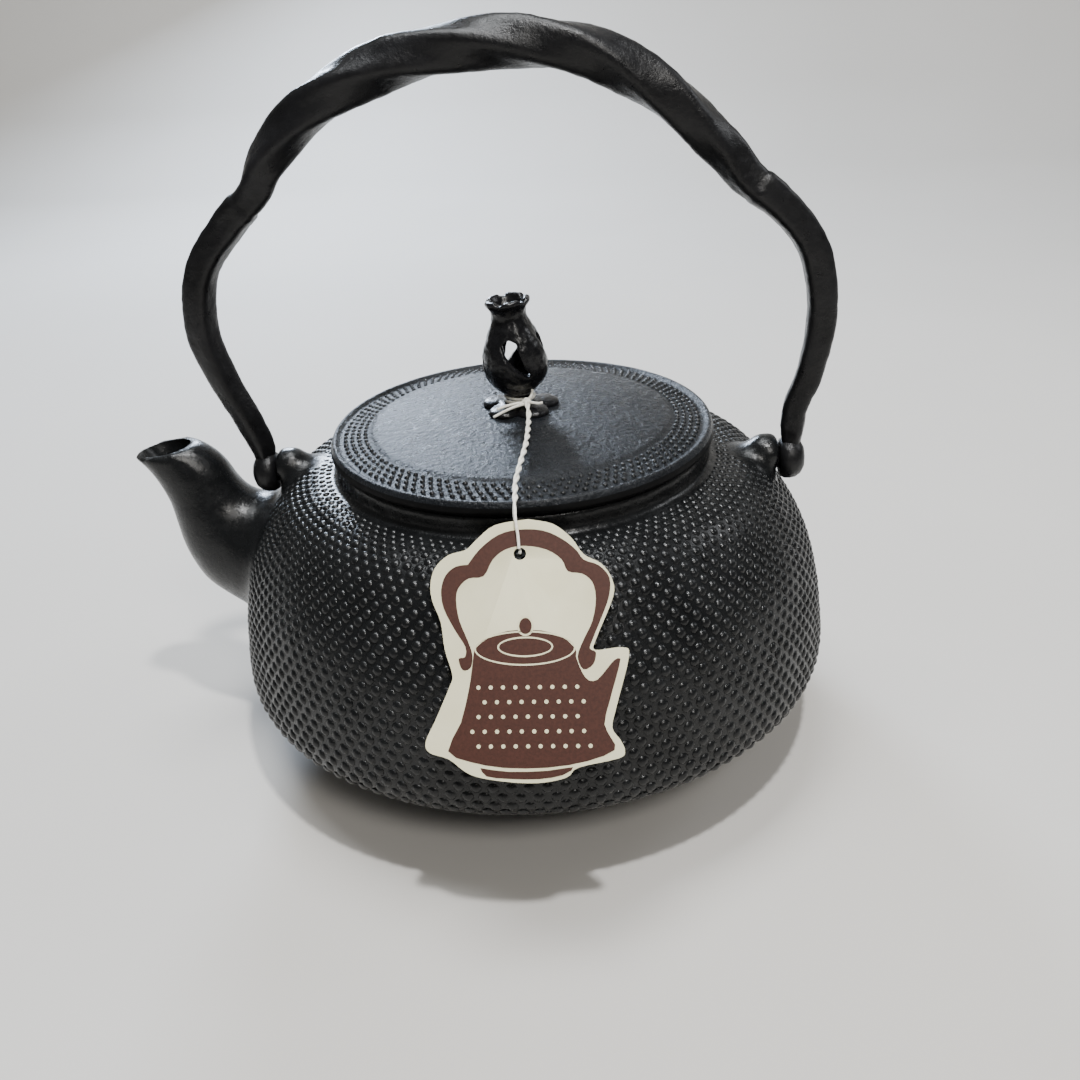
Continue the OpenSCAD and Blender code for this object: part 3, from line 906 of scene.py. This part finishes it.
PRINT_KETTLE = [(-11, -22.6), (-11.6, -27.5), (-12.3, -32), (-14.2, -39.7), (-17.2, -46.1), (-12, -48.6),
                (-4, -50), (6, -50), (15.2, -48.6), (21.6, -46.1), (20.9, -43.4), (19.4, -40.2), (20.6, -35.2),
                (22.2, -29.8), (23.4, -25.2), (21.9, -25.5), (20.4, -27.2), (18, -29.9), (16, -30.1), (14.4, -28.2),
                (13, -24.5), (12.9, -22.6), (8.6, -19.2), (1, -18), (-6.6, -19.2)]
PRINT_FOOT = [(-9.6, -50), (-8.2, -51.9), (-3, -52.5), (4, -52.6), (9.6, -51.7), (12, -49.9), (6, -50.7),
              (-3, -50.9)]


def card_plane(points, out):
    return [on_tag(x, y, out) for x, y in points]


def plate(name, outline, low, high, steps=3):
    """A flat plate of the card with that outline, between two heights over its front face."""
    ring = curve(list(outline) + [outline[0]], steps)[:-1]
    n = len(ring)
    verts = card_plane(ring, low) + card_plane(ring, high)
    faces = [(j, (j + 1) % n, n + (j + 1) % n, n + j) for j in range(n)]
    faces += [tuple(range(n))[::-1], tuple(range(n, 2 * n))]
    return np.array(verts), faces


def ring_plate(centre, rx, ry, width, low, high, n=64):
    """A thin oval line printed on the card."""
    a = 2 * np.pi * np.arange(n) / n
    rings = []
    for grow, out in ((0, low), (width, low), (width, high), (0, high)):
        rings.append(card_plane([(centre[0] + (rx + grow) * math.cos(k), centre[1] + (ry + grow) * math.sin(k))
                                 for k in a], out))
    return skin(np.array(rings), closed=True)


def disc(centre, rx, ry, low, high, n=20):
    a = 2 * np.pi * np.arange(n) / n
    outline = [(centre[0] + rx * math.cos(k), centre[1] + ry * math.sin(k)) for k in a]
    return plate("disc", outline, low, high, 1)


def build_tag():
    card = mesh("tag_card", *plate("card", TAG_OUTLINE, -0.8, 0.0, 4), 40)
    a = 2 * np.pi * np.arange(32) / 32
    hole = [[on_tag(1.5 * math.cos(k), 1.5 * math.sin(k), out) for k in a] for out in (-2.0, 2.0)]
    cut(card, mesh("tag_hole", *skin(np.array(hole)), 180))
    baked(card, ("BEVEL", {"width": 0.12 * MM, "segments": 2, "limit_method": "ANGLE"}))
    dress(card, "hang_tag", "card", CARD)
    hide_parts("tag")
    ink = mesh("tag_print", *joined([plate("band", PRINT_BAND, -0.05, 0.05), plate("kettle", PRINT_KETTLE, -0.05, 0.05, 2),
                                     plate("foot", PRINT_FOOT, -0.05, 0.05, 2),
                                     disc((1.2, -17.2), 1.5, 1.9, 0.0, 0.14)]), 40)
    dress(ink, "hang_tag", "card", INK)
    lines = [ring_plate((1, -22.4), 11.6, 3.7, 0.4, 0.02, 0.1), ring_plate((1.1, -22.1), 6.2, 2.0, 0.4, 0.02, 0.1),
             disc((1.2, -17.2), 2.0, 2.4, 0.02, 0.1)]
    for row in range(5):
        y = -31.5 - 3.4 * row
        for k in range(-5, 7):
            x = 1.6 + 2.9 * k + 1.45 * (row % 2)
            if -11 - 0.3 * row < x < 15.5 + 0.2 * row:
                lines.append(disc((x, y), 0.5, 0.5, 0.02, 0.1, 12))
    pale = mesh("tag_lines", *joined(lines), 40)
    dress(pale, "hang_tag", "card", CARD)


# ---------------------------------------------------------------- stage and lights

def build_stage():
    span = 1.6
    profile = [(-span, 0.0), (0.7, 0.0), (0.86, 0.02), (0.97, 0.09), (1.04, 0.2), (1.08, 0.4), (1.08, 1.8)]
    rings = [[(-2.2, y, z) for y, z in profile], [(2.2, y, z) for y, z in profile]]
    n = len(profile)
    verts = [tuple(v) for ring in rings for v in ring]
    faces = [(j, j + 1, n + j + 1, n + j) for j in range(n - 1)]
    data = bpy.data.meshes.new("floor")
    data.from_pydata(verts, [], faces)
    data.shade_smooth()
    floor = bpy.data.objects.new("floor", data)
    bpy.context.collection.objects.link(floor)
    m = Nodes("floor")
    m.link(m.ramp(m.noise(3, 3), [(0.3, (0.52, 0.50, 0.47)), (0.7, (0.56, 0.54, 0.51))]),
           m.shader.inputs["Base Color"])
    m.set(Roughness=0.75)
    data.materials.append(m.material)


def area_light(name, place, aim, size, power, colour):
    data = bpy.data.lights.new(name, "AREA")
    data.shape = "RECTANGLE"
    data.size, data.size_y = size
    data.energy = power
    data.color = colour
    light = bpy.data.objects.new(name, data)
    light.location = place
    light.visible_camera = False
    light.rotation_euler = (Vector(aim) - Vector(place)).to_track_quat("-Z", "Y").to_euler()
    bpy.context.collection.objects.link(light)


def build_lights():
    aim = (0, 0, 0.07)
    area_light("ceiling", (-0.15, 0.15, 1.3), aim, (0.7, 0.4), 16, (0.95, 0.98, 1.0))
    area_light("window_back", (-0.36, 0.92, 0.5), aim, (0.26, 0.16), 13, (0.70, 0.82, 1.0))
    area_light("window_right", (1.0, 0.35, 0.8), aim, (0.3, 0.4), 2.5, (0.95, 0.97, 1.0))
    area_light("front", (0.4, -1.0, 1.1), aim, (0.35, 0.3), 9, (1.0, 0.97, 0.92))
    area_light("spark", (0.15, -0.25, 1.0), aim, (0.05, 0.05), 9.0, (1, 1, 1))
    world = bpy.data.worlds.new("studio")
    world.use_nodes = True
    world.node_tree.nodes["Background"].inputs["Color"].default_value = (0.80, 0.80, 0.78, 1)
    world.node_tree.nodes["Background"].inputs["Strength"].default_value = 0.17
    bpy.context.scene.world = world


# ---------------------------------------------------------------- the whole kettle

rope = build_string()
back = build_back_strand()
tie = build_tie()
build_nails(*build_body())
build_waist_ring()
build_lid()
build_seat()
build_knob()
build_handle()
build_tag()
for name, finish in (("knob_rivet", IRON_KNOB), ("rivet_washer", IRON_INSIDE)):
    node = frame["nodes"][name]
    for slot in node.material_slots:
        slot.material = finish
build_stage()
build_lights()
